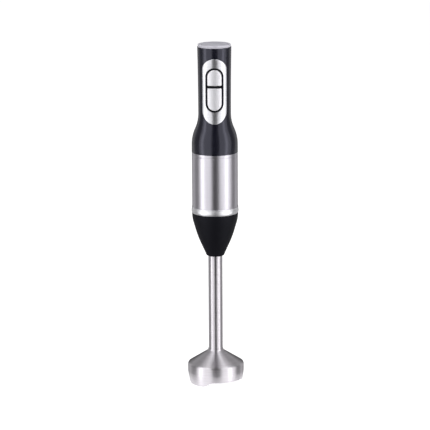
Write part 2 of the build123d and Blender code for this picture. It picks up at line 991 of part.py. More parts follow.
nodes = {
    "top_cap": top_cap(),
    "handle_front_shell": handle_front_shell(),
    "handle_rear_shell": handle_rear_shell(),
    "shell_screws": shell_screws(),
    "button_bezel": button_bezel(),
    "button_frame": button_frame(),
    "speed_button": button(upper=False),
    "turbo_button": button(upper=True),
    "speed_spring": button_spring(upper=False),
    "turbo_spring": button_spring(upper=True),
    "speed_plunger": plunger(upper=False),
    "turbo_plunger": plunger(upper=True),
    "speed_switch": microswitch(upper=False),
    "turbo_switch": microswitch(upper=True),
    "switch_board": switch_board(),
    "capacitor": capacitor(),
    "rectifier": rectifier(),
    "choke": choke(),
    "cord_gland": cord_gland(),
    "motor_leads": motor_leads(),
    "motor_sleeve": motor_sleeve(),
    "trim_ring": trim_ring(),
    "leg_socket": leg_socket(),
    "motor_carrier": motor_carrier(),
    "carrier_screws": carrier_screws(),
    "lower_damper": damper(can_bottom),
    "upper_damper": damper(can_top + free),
    "motor_can": motor_can(),
    "magnets": magnets(),
    "front_bearing": bearing(can_bottom - can_boss),
    "rear_bearing": bearing(rear_bearing_bottom),
    "motor_end_cap": motor_end_cap(),
    "carbon_brushes": carbon_brushes(),
    "brush_springs": brush_springs(),
    "motor_shaft": motor_shaft(),
    "armature_core": armature_core(),
    "armature_windings": armature_windings(),
    "commutator": commutator(),
    "cooling_fan": cooling_fan(),
    "drive_coupler": drive_coupler(),
    "leg_collar": leg_collar(),
    "leg_seal_ring": leg_seal_ring(),
    "leg_tube": leg_tube(),
    "bell_guard": bell_guard(),
    "upper_bush": bush(tube_top - bush_length),
    "lower_bush": bush(lower_bush_bottom),
    "shaft_seal": shaft_seal(),
    "seal_cap": seal_cap(),
    "driven_coupler": driven_coupler(),
    "drive_shaft": drive_shaft(),
    "retaining_ring": retaining_ring(),
    "thrust_washer": thrust_washer(),
    "blade": blade(),
    "blade_nut": blade_nut(),
}

for name, shape in nodes.items():
    export_step(Pos(0, 0, -grip_height) * shape, f"parts/{name}.step")
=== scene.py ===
"""Looks of the immersion blender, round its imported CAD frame. Metres, +Z up, buttons face -Y."""

import bmesh
import bpy
import json
from math import atan2, cos, hypot, pi, radians, sin, sqrt
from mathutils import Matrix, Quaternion, Vector


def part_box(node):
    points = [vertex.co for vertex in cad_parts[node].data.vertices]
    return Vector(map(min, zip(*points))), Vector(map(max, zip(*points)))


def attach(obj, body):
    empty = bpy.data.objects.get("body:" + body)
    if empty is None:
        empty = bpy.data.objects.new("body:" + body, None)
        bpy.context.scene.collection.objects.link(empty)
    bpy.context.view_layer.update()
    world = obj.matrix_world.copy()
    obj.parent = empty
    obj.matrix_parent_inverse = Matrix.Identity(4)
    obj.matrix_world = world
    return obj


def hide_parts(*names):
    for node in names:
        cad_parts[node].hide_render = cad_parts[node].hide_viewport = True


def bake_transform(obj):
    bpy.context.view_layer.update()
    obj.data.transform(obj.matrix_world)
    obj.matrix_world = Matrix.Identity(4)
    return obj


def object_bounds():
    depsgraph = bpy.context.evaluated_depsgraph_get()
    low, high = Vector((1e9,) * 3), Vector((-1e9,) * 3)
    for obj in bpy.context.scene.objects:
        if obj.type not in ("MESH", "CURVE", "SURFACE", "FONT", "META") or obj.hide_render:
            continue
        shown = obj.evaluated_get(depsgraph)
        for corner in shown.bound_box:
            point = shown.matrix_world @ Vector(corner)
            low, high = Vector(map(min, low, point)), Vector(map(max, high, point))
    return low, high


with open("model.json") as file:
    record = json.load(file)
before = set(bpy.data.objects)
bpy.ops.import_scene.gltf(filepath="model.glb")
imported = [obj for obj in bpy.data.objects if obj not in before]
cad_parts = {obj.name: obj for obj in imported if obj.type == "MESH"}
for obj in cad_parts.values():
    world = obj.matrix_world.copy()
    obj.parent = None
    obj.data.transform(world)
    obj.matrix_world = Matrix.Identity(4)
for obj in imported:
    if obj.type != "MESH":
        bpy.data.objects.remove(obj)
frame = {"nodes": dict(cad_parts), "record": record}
cad_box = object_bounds()
nodes = frame["nodes"]
record = frame["record"]

MM = 0.001
MICRON = 0.000001
floor_height = cad_box[0].z  # the plane that the guard's low lobes touch
body_of = {name: body for body, names in record["behaviour"]["bodies"].items() for name in names}
slot_of = {part["node"]: part["material_slot"] for part in record["subparts"]}
boxes = {name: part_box(name) for name in nodes}  # lowest and highest corner of each node


def low_of(node):
    """Lowest height of a CAD node, in millimetres above the floor plane."""
    return (boxes[node][0].z - floor_height) / MM


def top_of(node):
    """Highest height of a CAD node, in millimetres above the floor plane."""
    return (boxes[node][1].z - floor_height) / MM


def reach_of(node):
    """Largest reach of a CAD node along X, in millimetres."""
    return boxes[node][1].x / MM


# ---- camera and light ---------------------------------------------------------------------

CAMERA_DISTANCE = 3.2
CAMERA_ELEVATION = radians(12.3)
CAMERA_ROLL = radians(-0.3)
CAMERA_LENS = 231.7  # mm
CAMERA_SENSOR = 36.0  # mm
CAMERA_SHIFT = (-0.0003, -0.0046)  # shares of the picture's width
AIM_HEIGHT = 201.3  # mm above the floor plane

SOFT_BOXES = (
    # name, azimuth and elevation in degrees, distance, width, height, radiance
    ("left_box", -51, 0, 1.7, 2.3, 3.6, 0.93),
    ("left_core", -66, 0, 1.6, 0.40, 3.4, 1.3),
    ("left_high", -58, 60, 1.9, 0.7, 1.0, 2.7),
    ("right_box", 56, 0, 1.7, 2.2, 3.6, 0.93),
    ("right_core", 62, 0, 1.6, 0.40, 3.4, 1.3),
    ("right_high", 60, 60, 1.9, 0.7, 1.0, 2.7),
    ("back_left", -135, 0, 1.7, 0.8, 3.4, 0.3),
    ("back_right", 135, 0, 1.7, 0.8, 3.4, 0.3),
)

# the room that reflections see; its dark stripe is set by how far a direction points sideways
BACKDROP_LIGHT = 1.1
STRIPE_LIGHT, STRIPE_EDGE = 0.04, 0.03
ROOM_LIGHT, ROOM_EDGE = 0.30, 0.38

FLOOR_NEAR, FLOOR_FAR = 0.05, 80.0  # radii
FLOOR_TURNS = 64
FLOOR_GREY, FLOOR_ROUGHNESS, FLOOR_GLOW = 0.5, 0.9, 0.9


def make_camera():
    """A long lens from slightly above, with the blender a little above the picture's middle."""
    data = bpy.data.cameras.new("camera")
    data.lens = CAMERA_LENS
    data.sensor_width = CAMERA_SENSOR
    data.shift_x, data.shift_y = CAMERA_SHIFT
    camera = bpy.data.objects.new("camera", data)
    bpy.context.scene.collection.objects.link(camera)
    bpy.context.scene.camera = camera
    back = Vector((0, -cos(CAMERA_ELEVATION), sin(CAMERA_ELEVATION)))
    camera.location = Vector((0, 0, floor_height + AIM_HEIGHT * MM)) + CAMERA_DISTANCE * back
    aim = (-back).to_track_quat("-Z", "Y")
    camera.rotation_mode = "QUATERNION"
    camera.rotation_quaternion = aim @ Quaternion((0, 0, 1), CAMERA_ROLL)


def softbox(name, azimuth, elevation, distance, width, height, radiance):
    """A soft light that faces the object. Azimuth is from -Y towards +X; both are in degrees."""
    data = bpy.data.lights.new(name, "AREA")
    data.shape = "RECTANGLE"
    data.size = width
    data.size_y = height
    data.energy = radiance * pi * width * height
    light = bpy.data.objects.new(name, data)
    bpy.context.scene.collection.objects.link(light)
    around, up = radians(azimuth), radians(elevation)
    way = Vector((sin(around) * cos(up), -cos(around) * cos(up), sin(up)))
    light.location = way * distance
    light.rotation_mode = "QUATERNION"
    light.rotation_quaternion = (-way).to_track_quat("-Z", "Y")
    light.visible_camera = False


def make_lights():
    """Two broad soft boxes, each with a brighter core, two above them and a dim pair behind."""
    for soft_box in SOFT_BOXES:
        softbox(*soft_box)


def make_world():
    """White for the camera; for reflections a grey room with a dark stripe from front to back."""
    world = bpy.data.worlds.new("studio")
    bpy.context.scene.world = world
    world.use_nodes = True
    tree = world.node_tree
    tree.nodes.clear()
    add, link = tree.nodes.new, tree.links.new
    way = add("ShaderNodeTexCoord")
    split = add("ShaderNodeSeparateXYZ")
    link(way.outputs["Generated"], split.inputs[0])
    side = add("ShaderNodeMath")
    side.operation = "ABSOLUTE"
    link(split.outputs["X"], side.inputs[0])
    room_light = add("ShaderNodeMapRange")
    room_light.interpolation_type = "SMOOTHSTEP"
    room_light.inputs["From Min"].default_value = STRIPE_EDGE
    room_light.inputs["From Max"].default_value = ROOM_EDGE
    room_light.inputs["To Min"].default_value = STRIPE_LIGHT
    room_light.inputs["To Max"].default_value = ROOM_LIGHT
    link(side.outputs[0], room_light.inputs["Value"])
    room = add("ShaderNodeBackground")
    link(room_light.outputs["Result"], room.inputs["Strength"])
    white = add("ShaderNodeBackground")
    white.inputs["Strength"].default_value = BACKDROP_LIGHT
    path = add("ShaderNodeLightPath")
    mix = add("ShaderNodeMixShader")
    link(path.outputs["Is Camera Ray"], mix.inputs[0])
    link(room.outputs[0], mix.inputs[1])
    link(white.outputs[0], mix.inputs[2])
    out = add("ShaderNodeOutputWorld")
    link(mix.outputs[0], out.inputs["Surface"])


def make_floor():
    """A large pale floor. Only the part near the guard shows in its steel."""
    paint = bpy.data.materials.new("floor_white")
    paint.use_nodes = True
    shader = paint.node_tree.nodes["Principled BSDF"]
    shader.inputs["Base Color"].default_value = (FLOOR_GREY, FLOOR_GREY, FLOOR_GREY, 1)
    shader.inputs["Roughness"].default_value = FLOOR_ROUGHNESS
    shader.inputs["Emission Color"].default_value = (1, 1, 1, 1)
    shader.inputs["Emission Strength"].default_value = FLOOR_GLOW
    rings = (("floor_near", 0.0, FLOOR_NEAR), ("floor_far", FLOOR_NEAR, FLOOR_FAR))
    for name, inner, outer in rings:
        builder = bmesh.new()
        loops = []
        for radius in (inner, outer):
            ways = [2 * pi * n / FLOOR_TURNS for n in range(FLOOR_TURNS if radius else 1)]
            spots = [(radius * cos(way), radius * sin(way), floor_height) for way in ways]
            loops.append([builder.verts.new(spot) for spot in spots])
        bridge(builder, loops)
        mesh = bpy.data.meshes.new(name)
        builder.to_mesh(mesh)
        builder.free()
        mesh.materials.append(paint)
        floor = bpy.data.objects.new(name, mesh)
        bpy.context.scene.collection.objects.link(floor)
        floor.visible_glossy = inner == 0


# ---- materials ----------------------------------------------------------------------------

NOISE_LOW, NOISE_HIGH = 0.3, 0.7  # nearly all of a noise's values lie between these
QUARTER_TURN = 0.25
HARD_EDGE = radians(40)  # an edge that bends by less than this isn't rounded
SHELL_EDGE, SMALL_EDGE = 0.15, 0.12  # roundings in millimetres

SIMPLE_FINISHES = {
    # slot: metallic, roughness, grain in features per metre, bump in microns
    "machined_steel": (1.0, 0.30, 1500, 1),
    "coupler_nylon": (0.0, 0.50, 1800, 8),
    "seal_rubber": (0.0, 0.62, 2500, 10),
    "bearing_bronze": (1.0, 0.42, 2500, 6),
    "motor_steel": (1.0, 0.40, 800, 4),
    "copper": (1.0, 0.30, 1200, 10),
    "magnet_ferrite": (0.0, 0.68, 1500, 10),
    "brush_carbon": (0.0, 0.55, 1500, 10),
    "board_green": (0.0, 0.35, 900, 4),
    "component_dark": (0.0, 0.45, 1500, 6),
    "component_yellow": (0.0, 0.30, 900, 4),
    "lead_insulation": (0.0, 0.45, 900, 4),
}


class Finish:
    """A new material with its Principled shader, and short calls to add nodes to it."""

    def __init__(self, name, color, metallic=0.0, **direct):
        self.material = bpy.data.materials.new(name)
        self.material.use_nodes = True
        self.tree = self.material.node_tree
        self.base = self.tree.nodes["Principled BSDF"]
        self.set("Base Color", (*color, 1.0))
        self.set("Metallic", metallic)
        for label, value in direct.items():
            self.set(label.replace("_", " "), value)

    def set(self, label, value):
        """Set one of the shader's inputs."""
        self.base.inputs[label].default_value = value

    def link(self, source, target):
        """Join an output to an input."""
        self.tree.links.new(source, target)

    def add(self, kind):
        """A new node of a kind."""
        return self.tree.nodes.new("ShaderNode" + kind)

    def noise(self, scale, detail=2.0):
        """Noise in object space. The scale is (x, y, z) in features per metre."""
        where = self.add("TexCoord")
        stretch = self.add("Mapping")
        stretch.inputs["Scale"].default_value = scale
        node = self.add("TexNoise")
        node.inputs["Scale"].default_value = 1.0
        node.inputs["Detail"].default_value = detail
        self.link(where.outputs["Object"], stretch.inputs["Vector"])
        self.link(stretch.outputs["Vector"], node.inputs["Vector"])
        return node.outputs["Fac"]

    def mix(self, first, second, share):
        """Two values blended by a fixed share of the second."""
        node = self.add("Mix")
        node.inputs["Factor"].default_value = share
        self.link(first, node.inputs["A"])
        self.link(second, node.inputs["B"])
        return node.outputs["Result"]

    def remap(self, value, low, high):
        """A noise spread over the range from low to high."""
        node = self.add("MapRange")
        node.inputs["From Min"].default_value = NOISE_LOW
        node.inputs["From Max"].default_value = NOISE_HIGH
        node.inputs["To Min"].default_value = low
        node.inputs["To Max"].default_value = high
        self.link(value, node.inputs["Value"])
        return node.outputs["Result"]

    def tint(self, value, dark, light):
        """The base colour runs from dark to light as a value goes from 0 to 1."""
        ramp = self.add("ValToRGB")
        ramp.color_ramp.elements[0].color = (*dark, 1)
        ramp.color_ramp.elements[1].color = (*light, 1)
        self.link(self.remap(value, 0, 1), ramp.inputs["Fac"])
        self.link(ramp.outputs["Color"], self.base.inputs["Base Color"])

    def rough(self, value, low, high):
        """The roughness runs from low to high with a noise."""
        self.link(self.remap(value, low, high), self.base.inputs["Roughness"])

    def bump(self, value, microns):
        """The surface rises and falls with a value."""
        node = self.add("Bump")
        node.inputs["Distance"].default_value = microns * MICRON
        self.link(value, node.inputs["Height"])
        self.link(node.outputs["Normal"], self.base.inputs["Normal"])

    def brushed_round(self):
        """Grooves that run round the Z axis, so highlights stretch across them."""
        tangent = self.add("Tangent")
        tangent.direction_type = "RADIAL"
        tangent.axis = "Z"
        self.set("Anisotropic Rotation", QUARTER_TURN)
        self.link(tangent.outputs["Tangent"], self.base.inputs["Tangent"])


def scaled(color, share):
    """A colour made darker or lighter by a share."""
    return tuple(channel * share for channel in color)


def brushed(name, color, low, high, anisotropic, streak):
    """Steel brushed round its axis: hair lines, wider streaks and a faint cloudiness."""
    s = Finish(name, color, metallic=1.0, Anisotropic=anisotropic)
    hair = s.noise((40, 40, 7000), detail=3)
    streaks = s.noise((14, 14, 900), detail=2)
    cloud = s.noise((45, 45, 30))
    s.rough(s.mix(hair, cloud, 0.4), low, high)
    s.tint(s.mix(streaks, cloud, 0.35), scaled(color, 1 - streak), scaled(color, 1 + streak / 3))
    s.bump(s.mix(hair, streaks, 0.3), 3)
    s.brushed_round()
    return s.material


def gloss_black():
    """Polished black moulding with a faint unevenness."""
    s = Finish("gloss_black", (0.004, 0.004, 0.008), IOR=1.64)
    s.set("Specular Tint", (0.82, 0.82, 1.0, 1.0))
    soft = s.noise((90, 90, 70))
    s.tint(soft, (0.003, 0.003, 0.007), (0.005, 0.005, 0.010))
    s.rough(soft, 0.17, 0.23)
    s.bump(soft, 20)
    return s.material


def matte_black():
    """Black moulding with a fine spark-eroded grain."""
    s = Finish("matte_black", (0.002, 0.002, 0.004), IOR=1.28)
    s.set("Specular Tint", (0.84, 0.85, 1.0, 1.0))
    grain = s.noise((4500, 4500, 4500))
    s.tint(grain, (0.001, 0.001, 0.002), (0.003, 0.003, 0.005))
    s.rough(grain, 0.5, 0.62)
    s.bump(grain, 30)
    return s.material


def cap_grey():
    """Satin grey plastic of the lid, with painted shade that makes its side darker than its crown.
    """
    s = Finish("cap_grey", (0.60, 0.59, 0.66))
    grain = s.noise((3000, 3000, 3000))
    cloud = s.noise((120, 120, 120))
    shaded_side_depth, lit_crown_depth = 1.8, 0.8  # mm below the top, between which the painted shade of the side gives way to the lighter crown
    crown = boxes["top_cap"][1].z
    where = s.add("TexCoord")
    split = s.add("SeparateXYZ")
    s.link(where.outputs["Object"], split.inputs[0])
    # painted shade mask: 0 down the lid's side, 1 on its crown
    rise = s.add("MapRange")
    rise.interpolation_type = "SMOOTHSTEP"
    rise.inputs["From Min"].default_value = crown - shaded_side_depth * MM
    rise.inputs["From Max"].default_value = crown - lit_crown_depth * MM
    s.link(split.outputs["Z"], rise.inputs["Value"])
    # grain and cloud mixed with the painted shade, so the side is coloured darker and the crown
    # lighter
    grain_and_painted_shade = s.mix(s.mix(grain, cloud, 0.6), rise.outputs["Result"], 0.3)
    s.tint(grain_and_painted_shade, (0.42, 0.41, 0.46), (0.72, 0.71, 0.78))
    s.rough(grain, 0.36, 0.46)
    s.bump(grain, 10)
    return s.material


def silver_plate():
    """Satin plating on plastic, brushed across."""
    color = (0.83, 0.83, 0.87)
    s = Finish("silver_plate", color, metallic=1.0, Anisotropic=0.55)
    hair = s.noise((70, 70, 5000), detail=3)
    streaks = s.noise((40, 40, 1100))
    s.rough(hair, 0.30, 0.42)
    s.tint(streaks, scaled(color, 0.84), color)
    s.bump(s.mix(hair, streaks, 0.4), 4)
    s.brushed_round()
    return s.material


def button_satin():
    """Pearl plating of the buttons, matt enough to hold light all over."""
    color = (0.96, 0.95, 0.99)
    s = Finish("button_satin", color, metallic=0.85)
    grain = s.noise((2500, 2500, 2500))
    streaks = s.noise((90, 90, 900))
    s.tint(s.mix(grain, streaks, 0.5), scaled(color, 0.92), color)
    s.rough(grain, 0.44, 0.54)
    s.bump(grain, 6)
    return s.material


def trim_chrome():
    """Polished plating with faint clouding."""
    s = Finish("trim_chrome", (0.92, 0.92, 0.95), metallic=1.0)
    cloud = s.noise((200, 200, 200))
    s.tint(cloud, (0.89, 0.89, 0.92), (0.94, 0.94, 0.97))
    s.rough(cloud, 0.34, 0.42)
    s.bump(cloud, 4)
    return s.material


def plain(name, color, metallic, roughness, grain_scale, microns):
    """A simple finish whose colour, roughness and surface vary a little."""
    s = Finish(name, color, metallic=metallic)
    grain = s.noise((grain_scale,) * 3)
    depth = 0.05 if metallic else 0.15
    s.tint(grain, scaled(color, 1 - depth), scaled(color, 1 + depth / 2))
    s.rough(grain, roughness - 0.05, roughness + 0.06)
    s.bump(grain, microns)
    return s.material


def make_materials():
    """One finish for each material slot of the record."""
    colors = {m["slot"]: tuple(m["base_color"][:3]) for m in record["materials"]}
    made = {
        "brushed_sleeve": brushed("brushed_sleeve", (0.68, 0.66, 0.715), 0.35, 0.45, 0.8, 0.03),
        "brushed_leg": brushed("brushed_leg", (0.75, 0.72, 0.76), 0.36, 0.46, 0.9, 0.12),
        "gloss_black": gloss_black(),
        "matte_black": matte_black(),
        "cap_grey": cap_grey(),
        "silver_plate": silver_plate(),
        "button_satin": button_satin(),
        "trim_chrome": trim_chrome(),
        "blade_steel": brushed("blade_steel", colors["blade_steel"], 0.22, 0.32, 0.4, 0.06),
    }
    for slot, finish in SIMPLE_FINISHES.items():
        made[slot] = plain(slot, colors[slot], *finish)
    return made


def dress_cad():
    """Give every CAD node the finish of its slot."""
    for name, slot in slot_of.items():
        mesh = nodes[name].data
        mesh.materials.clear()
        mesh.materials.append(finishes[slot])


def soften(name, width):
    """Round the hard edges of a CAD node that stays visible. The width is in millimetres."""
    node = nodes[name]
    weld = node.modifiers.new("weld", "WELD")
    weld.merge_threshold = 2 * MICRON
    bevel = node.modifiers.new("bevel", "BEVEL")
    bevel.limit_method = "ANGLE"
    bevel.angle_limit = HARD_EDGE
    bevel.width = width * MM
    bevel.segments = 2
    bevel.use_clamp_overlap = True


# ---- outlines and meshes ------------------------------------------------------------------

POLE_RADIUS = 1e-6  # mm; a point nearer the axis than this is one vertex


def rounded(corners, steps=6):
    """Points of a closed outline whose corners are (x, y) or (x, y, rounding)."""
    points = []
    count = len(corners)
    for n, corner in enumerate(corners):
        here = Vector(corner[:2])
        rounding = corner[2] if len(corner) == 3 else 0.0
        if rounding <= 0:
            points.append(here)
            continue
        before = (Vector(corners[n - 1][:2]) - here).normalized()
        after = (Vector(corners[(n + 1) % count][:2]) - here).normalized()
        half = before.angle(after) / 2
        reach = rounding * cos(half) / sin(half)
        centre = here + (before + after).normalized() * (rounding / sin(half))
        start = here + before * reach - centre
        sweep = start.angle_signed(here + after * reach - centre)
        for step in range(steps + 1):
            turn = -sweep * step / steps
            x = start.x * cos(turn) - start.y * sin(turn)
            y = start.x * sin(turn) + start.y * cos(turn)
            points.append(centre + Vector((x, y)))
    return points


def spaced(points, count):
    """A closed outline resampled at even steps along its length."""
    loop = points + [points[0]]
    lengths = [0.0]
    for first, second in zip(loop, loop[1:]):
        lengths.append(lengths[-1] + (second - first).length)
    even, at = [], 0
    for n in range(count):
        target = lengths[-1] * n / count
        while lengths[at + 1] < target:
            at += 1
        share = (target - lengths[at]) / (lengths[at + 1] - lengths[at])
        even.append(loop[at].lerp(loop[at + 1], share))
    return even


def place(builder, name, stands_for, sharp=32, stretch=None):
    """Finish a mesh as a piece that rides with, and takes its slot from, a CAD node.

    With stretch, a body and the start and end points, it is fixed where it stands instead; the
    body and the points are not used.
    """
    mesh = bpy.data.meshes.new(name)
    bmesh.ops.recalc_face_normals(builder, faces=builder.faces[:])
    for face in builder.faces:
        face.smooth = True
    builder.to_mesh(mesh)
    builder.free()
    mesh.set_sharp_from_angle(angle=radians(sharp))
    slot = slot_of[stands_for]
    mesh.materials.append(finishes[slot])
    piece = bpy.data.objects.new(name, mesh)
    bpy.context.scene.collection.objects.link(piece)
    if stretch:
        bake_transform(piece)
    else:
        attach(piece, body_of[stands_for])
    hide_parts(stands_for)


def bridge(builder, loops, closed=False):
    """Faces between neighbouring loops of vertices. A loop of one vertex is a pole."""
    pairs = list(zip(loops, loops[1:]))
    if closed:
        pairs.append((loops[-1], loops[0]))
    for first, second in pairs:
        count = max(len(first), len(second))
        for n in range(count if count > 1 else 0):
            m = (n + 1) % count
            if len(first) == 1:
                corners = (first[0], second[n], second[m])
            elif len(second) == 1:
                corners = (first[n], second[0], first[m])
            else:
                corners = (first[n], second[n], second[m], first[m])
            builder.faces.new(corners)


def lathe(name, outline, stands_for, wave=None, turns=160):
    """Turn a closed outline of (radius, height) points in millimetres about Z.

    wave, if given, moves a point by its angle: (angle, radius, height) -> (radius, height).
    """
    builder = bmesh.new()
    loops = []
    for radius, height in outline:
        loop = []
        for n in range(1 if radius < POLE_RADIUS else turns):
            angle = 2 * pi * n / turns
            r, z = wave(angle, radius, height) if wave else (radius, height)
            spot = (r * MM * cos(angle), r * MM * sin(angle), floor_height + z * MM)
            loop.append(builder.verts.new(spot))
        loops.append(loop)
    bridge(builder, loops, closed=True)
    place(builder, name, stands_for)


# ---- handle -------------------------------------------------------------------------------

BAND_TOP = 283.0  # of the straight band at the handle's foot
SHOULDER_TOP = 319.0
WAIST_RADIUS = 18.72
FLARE = 0.8  # how much wider the handle's top is than its waist
FLANGE_GROW = 0.9  # how far a button's flange reaches past its face


def handle_radius(height):
    """Radius of the handle's outside at a height, both in millimetres."""
    band = reach_of("handle_rear_shell")
    if height >= SHOULDER_TOP:
        share = (height - SHOULDER_TOP) / (top_of("handle_rear_shell") - SHOULDER_TOP)
        return WAIST_RADIUS + FLARE * share**2
    if height <= BAND_TOP:
        return band
    half_drop = (band - WAIST_RADIUS) / 2
    half_rise = (SHOULDER_TOP - BAND_TOP) / 2
    bend = (half_drop**2 + half_rise**2) / (2 * half_drop)
    if height > BAND_TOP + half_rise:
        return WAIST_RADIUS + bend - sqrt(bend**2 - (SHOULDER_TOP - height) ** 2)
    return band - bend + sqrt(bend**2 - (height - BAND_TOP) ** 2)


def on_handle(x, height, proud):
    """The point on the front of the handle, some millimetres proud of its face."""
    radius = handle_radius(height) + proud
    return Vector((x * MM, -sqrt(max(radius**2 - x**2, 0.0)) * MM, floor_height + height * MM))


def arc_points(a, b, centre, start, end, steps=48):
    """Points on an ellipse about (0, centre). Angles run clockwise from its top, in degrees."""
    points = []
    for n in range(steps + 1):
        turn = radians(start + (end - start) * n / steps)
        points.append(Vector((a * sin(turn), centre + b * cos(turn))))
    return points


def oval(half_width, rise_low, rise_high, bottom, top, inset, count):
    """An upright oval with half-ellipse ends, inset by a margin, as evenly spaced points."""
    a = half_width - inset
    points = arc_points(a, rise_high - inset, top - rise_high, 0, 90)
    points += arc_points(a, rise_low - inset, bottom + rise_low, 90, 270)
    points += arc_points(a, rise_high - inset, top - rise_high, 270, 360)[:-1]
    return spaced(points, count)


def edge_drop(inset, rounding):
    """How far a rounded edge drops at a distance in from the edge."""
    if inset >= rounding:
        return 0.0
    return rounding - sqrt(rounding**2 - (rounding - inset) ** 2)


def edge_steps(rounding, steps):
    """Insets that follow a rounded edge at even angles, from the edge inwards."""
    return [rounding * (1 - cos(pi / 2 * n / steps)) for n in range(steps + 1)]


def make_bezel():
    """Plated plate wrapped round the handle, rounded at its outline and at its window."""
    count = 240
    foot, proud = 0.03, 1.0  # of the back edge and of the face, above the handle
    window_edge, outer_edge = 0.3, 0.6
    end_margin, side_margin = 1.5, 0.7  # the window stays inside the frame by these
    rise_low, rise_high = 15.0, 12.0  # of the plate's round ends
    low, high = low_of("button_bezel"), top_of("button_bezel")
    half = reach_of("button_bezel")
    inner_low = low_of("button_frame") + end_margin
    inner_high = top_of("button_frame") - end_margin
    inner_half = reach_of("button_frame") - side_margin

    def window(inset):
        """The outline of the window, grown by a margin."""
        end = inner_half + inset
        return oval(end, end, end, inner_low - inset, inner_high + inset, 0.0, count)

    def outside(inset):
        """The outline of the plate, inset by a margin."""
        return oval(half, rise_low, rise_high, low, high, inset, count)

    rows = [(window(0.0), foot)]
    for inset in edge_steps(window_edge, 4):
        rows.append((window(inset), proud - edge_drop(inset, window_edge)))
    first, last, bands = window(window_edge), outside(outer_edge), 8
    for n in range(1, bands):
        rows.append(([p.lerp(q, n / bands) for p, q in zip(first, last)], proud))
    for inset in reversed(edge_steps(outer_edge, 5)):
        rows.append((outside(inset), proud - edge_drop(inset, outer_edge)))
    rows.append((outside(0.0), foot))
    builder = bmesh.new()
    loops = [[builder.verts.new(on_handle(p.x, p.y, up)) for p in points] for points, up in rows]
    bridge(builder, loops, closed=True)
    place(builder, "bezel_plate", "button_bezel", sharp=60)


def make_button(node, name, end, split):
    """A button with a softly rounded face that follows the handle, a flange and a stem.

    end is the height of its round end and split the height of its straight edge. The face
    stands a little shy of both, which leaves the dark line round it.
    """
    count, bands = 200, 12
    proud, rounding, shy = 1.5, 0.8, 0.25
    corner_radius, least_corner = 1.0, 0.12  # the second is a share of the half width
    stem_radius, stem_length, flange_thickness = 2.2, 2.7, 1.0
    half = reach_of(node) - FLANGE_GROW - shy
    way = 1 if end > split else -1
    end, split = end - way * shy, split + way * 2 * shy

    def outline(inset):
        """The outline of the face, inset by a margin."""
        a = half - inset
        corner = max(corner_radius - inset, least_corner * a)
        near, centre = split + way * inset, end - way * half
        points = rounded([(a, centre), (a, near, corner), (-a, near, corner), (-a, centre)])
        round_end = arc_points(a, way * a, centre, -90, 90)
        return spaced(points + round_end[1:-1], count)

    def flat(points, depth):
        """A loop of vertices in the upright plane at a Y."""
        return [builder.verts.new((p.x * MM, depth, floor_height + p.y * MM)) for p in points]

    builder = bmesh.new()
    stem_end = boxes[node][1].y
    flange_back = stem_end - stem_length * MM
    flange_front = flange_back - flange_thickness * MM
    middle = Vector((0, (end + split) / 2))
    stem = [middle + (p - middle).normalized() * stem_radius for p in outline(0.0)]
    loops = [
        [builder.verts.new((0, stem_end, floor_height + middle.y * MM))],
        flat(stem, stem_end),
        flat(stem, flange_back),
        flat(outline(-FLANGE_GROW), flange_back),
        flat(outline(-FLANGE_GROW), flange_front),
        flat(outline(0.0), flange_front),
    ]
    for inset in edge_steps(rounding, 7):
        up = proud - edge_drop(inset, rounding)
        loops.append([builder.verts.new(on_handle(p.x, p.y, up)) for p in outline(inset)])
    deepest = half - 0.05  # leaves a small flat face in the middle
    for n in range(1, bands + 1):
        inset = rounding + (deepest - rounding) * n / bands
        loops.append([builder.verts.new(on_handle(p.x, p.y, proud)) for p in outline(inset)])
    bridge(builder, loops)
    builder.faces.new(loops[-1])
    place(builder, name, node, sharp=60)


def make_spring(name, node, button):
    """Return spring behind a button."""
    wire, turns, steps, sides = 0.25 * MM, 4, 160, 10
    low, high = boxes[node]
    middle = (low + high) / 2
    radius = (high.x - low.x) / 2 - wire
    front, rise = low.y + wire, high.y - low.y - 2 * wire
    builder = bmesh.new()
    loops = []
    for n in range(steps + 1):
        turn = 2 * pi * turns * n / steps
        out = Vector((cos(turn), 0, sin(turn)))
        spot = Vector((middle.x, front + rise * n / steps, middle.z)) + out * radius
        ring = []
        for m in range(sides):
            way = 2 * pi * m / sides
            offset = out * cos(way) + Vector((0, 1, 0)) * sin(way)
            ring.append(builder.verts.new(spot + offset * wire))
        loops.append(ring)
    bridge(builder, loops)
    for ring in (loops[0], loops[-1]):
        builder.faces.new(ring)
    ends = (Vector((middle.x, high.y, middle.z)), Vector((middle.x, low.y, middle.z)))
    place(builder, name, node, sharp=60, stretch=(body_of[button], *ends))


def make_cap():
    """Lid with a soft raised rim, a fine groove and a slightly crowned top."""
    side, crown, skirt = reach_of("top_cap"), top_of("top_cap"), low_of("top_cap")
    foot = top_of("handle_rear_shell")
    plug_bore, plug_radius, plug_roof = 15.42, 17.02, foot + 1.2
    groove_depth, crown_start, steps = 0.4, 0.6, 24
    rim_top, rim_inner, crown_radius = foot + 3.0, side - 2.4, side - 3.0
    points = rounded(
        [
            (0.0, plug_roof),
            (plug_bore, plug_roof),
            (plug_bore, skirt),
            (plug_radius, skirt),
            (plug_radius, foot),
            (side, foot, 0.15),
            (side, rim_top, 0.9),
            (rim_inner, rim_top, 0.18),
            (rim_inner, rim_top - groove_depth),
            (crown_radius, rim_top - groove_depth),
            (crown_radius, rim_top, 0.2),
            (crown_radius - crown_start, rim_top + 0.05),
        ]
    )
    for n in range(1, steps + 1):
        radius = (crown_radius - crown_start) * (1 - n / steps)
        rise = (crown - rim_top) * (1 - (radius / crown_radius) ** 2)
        points.append(Vector((radius, rim_top + rise)))
    lathe("lid", points, "top_cap")


# ---- body and leg -------------------------------------------------------------------------


